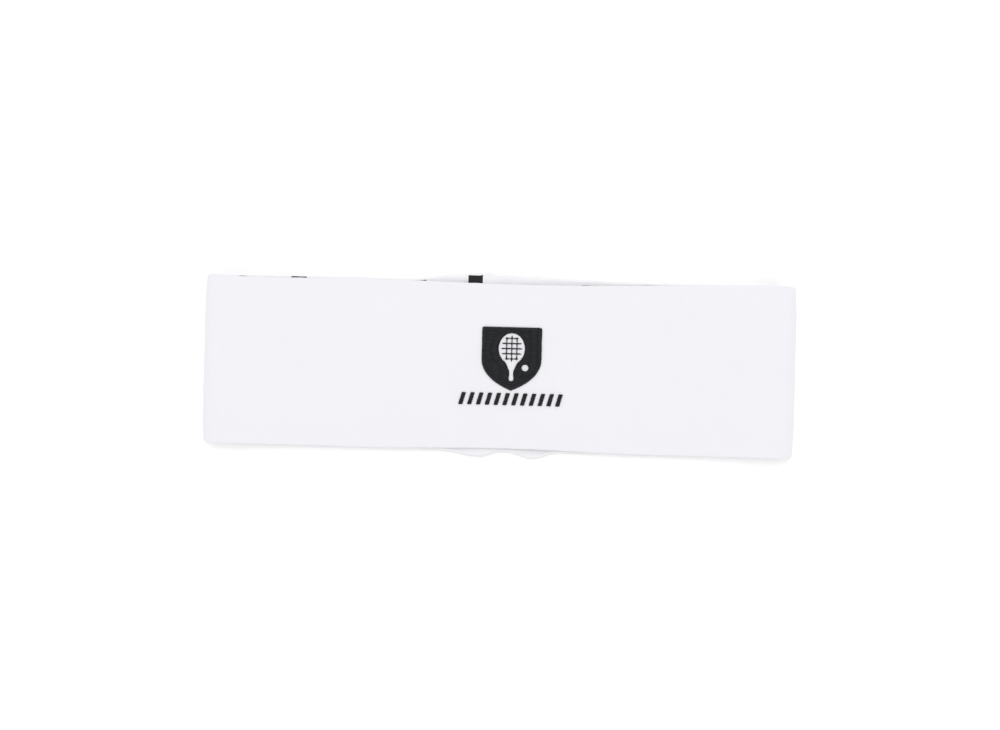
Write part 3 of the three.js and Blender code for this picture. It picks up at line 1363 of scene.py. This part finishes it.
@dataclass
class Embroidery:
    """The stitched crest, a shield with a racket and ball left bare, and the row of dashes under it."""

    form: BandForm
    underlay: Stitch = Stitch(2 * THREAD, 0.34 * MM, 0.06 * MM)
    fill_stitch: Stitch = Stitch(THREAD, 0.46 * MM, 0.26 * MM)
    edge_stitch: Stitch = Stitch(0.9 * THREAD, 0.42 * MM, 0.3 * MM)
    satin_stitch: Stitch = Stitch(THREAD, 0.6 * MM, 0.3 * MM)
    upright_string: Stitch = Stitch(1.2 * THREAD, 0.4 * MM, 0.28 * MM)
    level_string: Stitch = Stitch(1.2 * THREAD, 0.4 * MM, 0.2 * MM)
    string_length: float = 2.0 * MM
    row_pitch: float = 0.36 * MM
    fill_length: float = 3.3 * MM
    fill_overlap: float = 0.2 * MM
    fill_stagger: float = 0.37
    fill_unevenness: float = 0.03 * MM
    underlay_rows: float = 2.2
    edge_pitch: float = 0.6 * MM
    edge_outset: float = 0.15 * MM
    satin_pitch: float = 0.34 * MM
    satin_unevenness: float = 0.06 * MM
    satin_overlap: float = 0.25 * MM
    shield_corner: float = 0.5 * MM
    border: float = 1.3 * MM
    rim: float = 1.1 * MM
    head_rise: float = 4.2 * MM
    head_width: float = 10.8 * MM
    head_height: float = 12.8 * MM
    handle_width: float = 2.2 * MM
    throat_width: float = 5.2 * MM
    throat_length: float = 3.4 * MM
    string_pitch: float = 2.1 * MM
    strings_upright: int = 3
    strings_across: int = 5
    ball_radius: float = 1.5 * MM
    ball_x: float = 5.6 * MM
    ball_y: float = -3.6 * MM
    dashes: int = 12
    dash_slant: float = 1.3 * MM

    def __post_init__(self) -> None:
        """Read the crest's place and size from the frame."""
        low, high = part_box("crest_border")
        self.centre = ((low.x + high.x) / 2, (low.y + high.y) / 2)
        self.half = ((high.x - low.x) / 2, (high.y - low.y) / 2)

    def shift(self, points: Iterable[Point]) -> list[Point]:
        """Move points from the crest's own centre to their place on the band."""
        return [(x + self.centre[0], y + self.centre[1]) for x, y in points]

    def shield(self, inset: float) -> list[Point]:
        """Draw the shield.

        Args:
            inset: How far its outline is drawn in all round.

        Returns:
            The closed outline.
        """
        w, h = self.half[0] - inset, self.half[1] - inset
        corner = self.shield_corner
        left = bezier((-w, 0), (-w, -0.55 * h), (-0.4 * w, -0.85 * h), (0, -h))
        right = bezier((0, -h), (0.4 * w, -0.85 * h), (w, -0.55 * h), (w, 0))
        top = [(w, h - corner), (w - corner, h), (corner - w, h), (-w, h - corner), (-w, 0)]
        return self.shift([*left, *right, (w, 0), *top])

    def handle(self, inset: float = 0.0) -> list[Point]:
        """Draw the racket's throat and handle.

        Args:
            inset: How far their outline is drawn in.

        Returns:
            The closed outline.
        """
        top = self.head_rise - self.head_height / 2 + self.rim
        neck = top - self.throat_length
        foot = -self.half[1] + 3 * self.border + inset
        throat, grip = self.throat_width / 2 - inset, self.handle_width / 2 - inset
        corners = [(-throat, top), (-grip, neck), (-grip, foot), (grip, foot), (grip, neck), (throat, top)]
        return self.shift([*corners, corners[0]])

    def head(self, inset: float = 0.0) -> list[Point]:
        """Draw the racket's head, drawn in by an inset."""
        across, along = self.head_width / 2 - inset, self.head_height / 2 - inset
        return self.shift(oval(0, self.head_rise, across, along))

    def ball(self, inset: float = 0.0) -> list[Point]:
        """Draw the ball, drawn in by an inset."""
        radius = self.ball_radius - inset
        return self.shift(oval(self.ball_x, self.ball_y, radius, radius, 32))

    def runs(self, fixed: float, upright: bool) -> list[Point]:
        """Find the stitched stretches of one row or column of the field.

        Args:
            fixed: The row's y, or the column's x.
            upright: Whether it is a column.

        Returns:
            The start and the end of each stretch.
        """
        middle = self.centre[1] if upright else self.centre[0]
        reach = self.half[1] if upright else self.half[0]
        step = 0.15 * MM
        bare = (self.head(), self.handle(), self.ball())
        whole = self.shield(self.border)
        stretches: list[Point] = []
        start = None
        for place in [*spread(middle - reach, middle + reach, step), middle + reach]:
            x, y = (fixed, place) if upright else (place, fixed)
            inside = encloses(whole, x, y) and not any(encloses(shape, x, y) for shape in bare)
            if inside and start is None:
                start = place
            elif not inside and start is not None:
                stretches.append((start, place - step))
                start = None
        return stretches

    def fill(self, work: ThreadWork) -> None:
        """Fill the field: an open underlay of columns, then close rows of staggered stitches.

        Args:
            work: The stitches to add to.
        """
        x, y = self.centre
        for column in spread(x - self.half[0], x + self.half[0], self.underlay_rows * self.row_pitch):
            for start, end in self.runs(column, True):
                for low in spread(start, end, self.fill_length):
                    high = min(low + self.fill_length, end)
                    work.lay((column, low), (column, high), self.underlay)
        for index, row in enumerate(spread(y - self.half[1], y + self.half[1], self.row_pitch)):
            for start, end in self.runs(row, False):
                shift = (index * self.fill_stagger % 1.0) * self.fill_length
                cuts = spread(start - shift, end, self.fill_length)
                cuts = [start, *(cut for cut in cuts if start < cut < end), end]
                for low, high in zip(cuts, cuts[1:]):
                    wobble = work.draw.uniform(-self.fill_unevenness, self.fill_unevenness)
                    left, right = max(low - self.fill_overlap, start), min(high + self.fill_overlap, end)
                    work.lay((left, row), (right, row + wobble), self.fill_stitch)

    def outline(self, work: ThreadWork, line: Sequence[Point], bare: Sequence[Point]) -> None:
        """Neaten a bare shape's edge with small overlapping stitches.

        Args:
            work: The stitches to add to.
            line: The closed line to follow.
            bare: The neighbouring shape that stays free of stitches.
        """
        steps = [point for point, _ in walk(line, self.edge_pitch)]
        for start, end in zip(steps, [*steps[2:], *steps[:2]]):
            if not encloses(bare, *start) and not encloses(bare, *end):
                work.lay(start, end, self.edge_stitch)

    def satin(self, work: ThreadWork, left: Sequence[Point], right: Sequence[Point]) -> None:
        """Fill the column between two lines with close stitches from side to side.

        Args:
            work: The stitches to add to.
            left: The line where they start.
            right: The line where they end, with as many points.
        """
        for (x0, y0), place in walk(left, self.satin_pitch):
            uneven = work.draw.uniform(-self.satin_unevenness, self.satin_unevenness)
            x1, y1 = at(right, place)
            work.lay((x0 + uneven, y0), (x1, y1 + uneven), self.satin_stitch)

    def build(self, material: bpy.types.Material) -> list[bpy.types.Object]:
        """Stitch the crest and the dashes.

        Args:
            material: The thread's finish.

        Returns:
            The pieces.
        """
        pieces = []

        def tie_off(work: ThreadWork, name: str, node: str) -> None:
            """Turn finished stitches into a piece that stands for a node."""
            pieces.append(work.finish(name, node, Body.FRONT, Slot.BLACK_THREAD, material))

        work = ThreadWork(self.form.on_front, seed=11)
        self.fill(work)
        head, handle, ball = (draw(-self.edge_outset) for draw in (self.head, self.handle, self.ball))
        for line, bare in ((head, handle), (handle, head), (ball, handle)):
            self.outline(work, line, bare)
        tie_off(work, "crest_fill_stitches", "crest_field")

        work = ThreadWork(self.form.on_front, seed=12)
        self.satin(work, self.shield(0), self.shield(self.border + self.satin_overlap))
        tie_off(work, "crest_border_stitches", "crest_border")

        work = ThreadWork(self.form.on_front, seed=13)
        self.lay_strings(work)
        tie_off(work, "racket_string_stitches", "racket_strings")

        for index in range(1, self.dashes + 1):
            node = f"stitched_dash_{index:02d}"
            low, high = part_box(node)
            work = ThreadWork(self.form.on_front, seed=20 + index)
            lean = self.dash_slant
            left = [(low.x, low.y), (low.x + lean, high.y)]
            right = [(high.x - lean, low.y), (high.x, high.y)]
            self.satin(work, left, right)
            tie_off(work, f"dash_{index:02d}_stitches", node)
        return pieces

    def lay_strings(self, work: ThreadWork) -> None:
        """Stitch the racket's strings as crossed runs inside its rim.

        Args:
            work: The stitches to add to.
        """
        x, y = self.centre[0], self.centre[1] + self.head_rise
        reach_x, reach_y = self.head_width / 2 - self.rim, self.head_height / 2 - self.rim

        def string(shift: float, upright: bool) -> None:
            """Stitch one string.

            Args:
                shift: How far it is from the head's middle.
                upright: Whether it runs up the head and not across.
            """
            across, along = (reach_x, reach_y) if upright else (reach_y, reach_x)
            half = along * math.sqrt(max(1 - (shift / across) ** 2, 0))
            steps = [*spread(-half, half, self.string_length), half]
            for low, high in zip(steps, steps[1:]):
                if upright:
                    work.lay((x + shift, y + low), (x + shift, y + high), self.upright_string)
                else:
                    work.lay((x + low, y + shift), (x + high, y + shift), self.level_string)

        for count, upright in ((self.strings_across, False), (self.strings_upright, True)):
            for index in range(count):
                string((index - (count - 1) / 2) * self.string_pitch, upright)


@dataclass
class ElasticStitching:
    """The zigzag rows that hold the elastic's two ends."""

    form: BandForm
    pitch: float = 1.6 * MM
    stitch: Stitch = Stitch(0.4 * MM, 0.4 * MM)

    def build(self, material: bpy.types.Material) -> list[bpy.types.Object]:
        """Stitch both ends.

        Args:
            material: The thread's finish.

        Returns:
            The two pieces.
        """
        pieces = []
        for side in ("left", "right"):
            node = f"elastic_stitching_{side}"
            low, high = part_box(node)
            depth = (low.z + high.z) / 2 / self.form.rear_lining_top
            work = ThreadWork(lambda x, y, depth=depth: self.form.on_rear(x, y, depth), seed=40)
            steps = [*spread(low.y, high.y, self.pitch / 2), high.y]
            for index, (start, end) in enumerate(zip(steps, steps[1:])):
                x0, x1 = (low.x, high.x) if index % 2 else (high.x, low.x)
                work.lay((x0, start), (x1, end), self.stitch)
            name = f"elastic_zigzag_{side}"
            pieces.append(work.finish(name, node, Body.REAR, Slot.WHITE_THREAD, material))
        return pieces


# ----------------------------------------------------------------------------- table, light and camera
@dataclass
class Studio:
    """A white table under a broad soft light, seen from straight above."""

    floor_size: float = 8.0
    view_width: float = 0.4106
    lens: float = 100.0
    sensor: float = 36.0
    roll: float = 1.45
    aside: Point = (0.14 * MM, 0.4 * MM)
    sky: float = 0.98
    key_power: float = 5.8
    key_height: float = 1.85
    key_back: float = 0.4
    key_size: float = 0.7

    def build(self, top: float) -> None:
        """Lay the table and place the light and the camera.

        Args:
            top: The height of the surface that the camera is focused on.
        """
        mesh = bmesh.new()
        bmesh.ops.create_grid(mesh, x_segments=1, y_segments=1, size=self.floor_size / 2)
        to_object(mesh, "tabletop", Tabletop().material())

        world = bpy.data.worlds.new("soft surround")
        world.use_nodes = True
        background = world.node_tree.nodes["Background"]
        background.inputs["Color"].default_value = (1, 1, 1, 1)
        background.inputs["Strength"].default_value = self.sky
        bpy.context.scene.world = world

        light = bpy.data.lights.new("softbox", "AREA")
        light.shape = "DISK"
        light.size = self.key_size
        light.energy = self.key_power
        softbox = bpy.data.objects.new("softbox", light)
        softbox.location = (0, self.key_back, self.key_height)
        softbox.rotation_euler = (-Vector(softbox.location)).to_track_quat("-Z", "Y").to_euler()
        bpy.context.scene.collection.objects.link(softbox)

        camera = bpy.data.cameras.new("overhead")
        camera.lens = self.lens
        camera.sensor_width = self.sensor
        overhead = bpy.data.objects.new("overhead", camera)
        overhead.location = (*self.aside, top + self.view_width * self.lens / self.sensor)
        overhead.rotation_euler = (0, 0, math.radians(self.roll))
        bpy.context.scene.collection.objects.link(overhead)
        bpy.context.scene.camera = overhead
        bpy.context.scene.view_settings.view_transform = "Standard"


# ----------------------------------------------------------------------------- the whole scene
def report(title: str, pieces: Iterable[bpy.types.Object]) -> None:
    """Log each piece of a sub-assembly."""
    for piece in pieces:
        LOG.info("%s: %s, %d faces", title, piece.name, len(piece.data.polygons))


def corners(box: tuple[Vector, Vector]) -> list[list[float]]:
    """Turn a box into plain lists of numbers."""
    return [[float(part) for part in corner] for corner in box]


def main() -> None:
    """Build the headband round the frame, and the table, light and camera."""
    logging.basicConfig(level=logging.INFO, format="%(name)s %(message)s")
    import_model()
    form = BandForm.from_frame()
    Studio().build(form.top / 2)

    flat_length = form.along_cloth(form.length)
    shell, lining = Jersey(), PrintedJersey(loop=flat_length)
    black_thread = EmbroideryThread().material()
    white_thread = EmbroideryThread(
        "white thread", (0.72, 0.72, 0.74), twist=0.3 * MM, roughness=0.6, gloss=0.3
    ).material()

    cloths = BandCloth(form).build(shell, lining)
    report("cloth", cloths)
    edges = TurnedEdges(form).build(Jersey("allowance jersey", (0.78, 0.78, 0.8)))
    report("turned edges", edges)

    elastic = FlatPiece(
        form, "rear_elastic", "centre_back_elastic", Body.REAR, Slot.ELASTIC, 0.7 * MM,
        pitch=0.7 * MM, rib_pitch=3 * MM, rib_height=0.05 * MM,
    ).build(WovenElastic().material())
    backing = FlatPiece(
        form, "embroidery_backing", "embroidery_stabiliser", Body.FRONT, Slot.BACKING, 0.35 * MM,
    ).build(BackingFelt().material())
    report("flat pieces", [elastic, backing])
    report("elastic stitching", ElasticStitching(form).build(white_thread))
    report("embroidery", Embroidery(form).build(black_thread))


if __name__ == "__main__":
    main()
